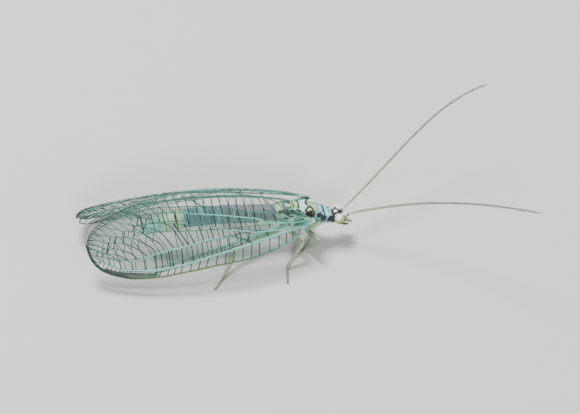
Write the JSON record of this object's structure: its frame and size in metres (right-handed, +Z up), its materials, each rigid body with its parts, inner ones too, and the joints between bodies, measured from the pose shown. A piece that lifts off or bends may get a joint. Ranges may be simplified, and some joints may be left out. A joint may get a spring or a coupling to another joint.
{
  "type": "green lacewing insect model",
  "caption": "Life-size still model of a green lacewing at rest: veined wings folded like a roof over a slim banded body, long feelers, standing on its feet.",
  "frame": {"origin": "middle of the box's bottom, on the floor under the insect", "axes": "+X towards the head, +Y towards the insect's left, +Z up"},
  "size_m": [0.0254, 0.0108, 0.0058],
  "materials": {
    "body": "pale blue-green insect skin with dark marks, satin",
    "head": "pale green-white with black marks, glossy",
    "eye": "glossy green-gold with a metallic shimmer",
    "mouth": "dark olive, satin",
    "feeler": "grey-brown, finely ringed and haired",
    "leg": "pale grey-green, finely haired",
    "wing": "clear film with blue-green and black veins, faint shimmer"
  },
  "bodies": {
    "root": {"head": "head", "mouthparts": "mouth", "prothorax": "body", "mesothorax": "body", "metathorax": "body", "abdomen": "body", "eye_left": "eye", "eye_right": "eye", "antenna_left": "feeler", "antenna_right": "feeler", "forewing_left": "wing", "forewing_right": "wing", "hindwing_left": "wing", "hindwing_right": "wing", "foreleg_left": "leg", "foreleg_right": "leg", "middleleg_left": "leg", "middleleg_right": "leg", "hindleg_left": "leg", "hindleg_right": "leg"}
  },
  "joints": []
}
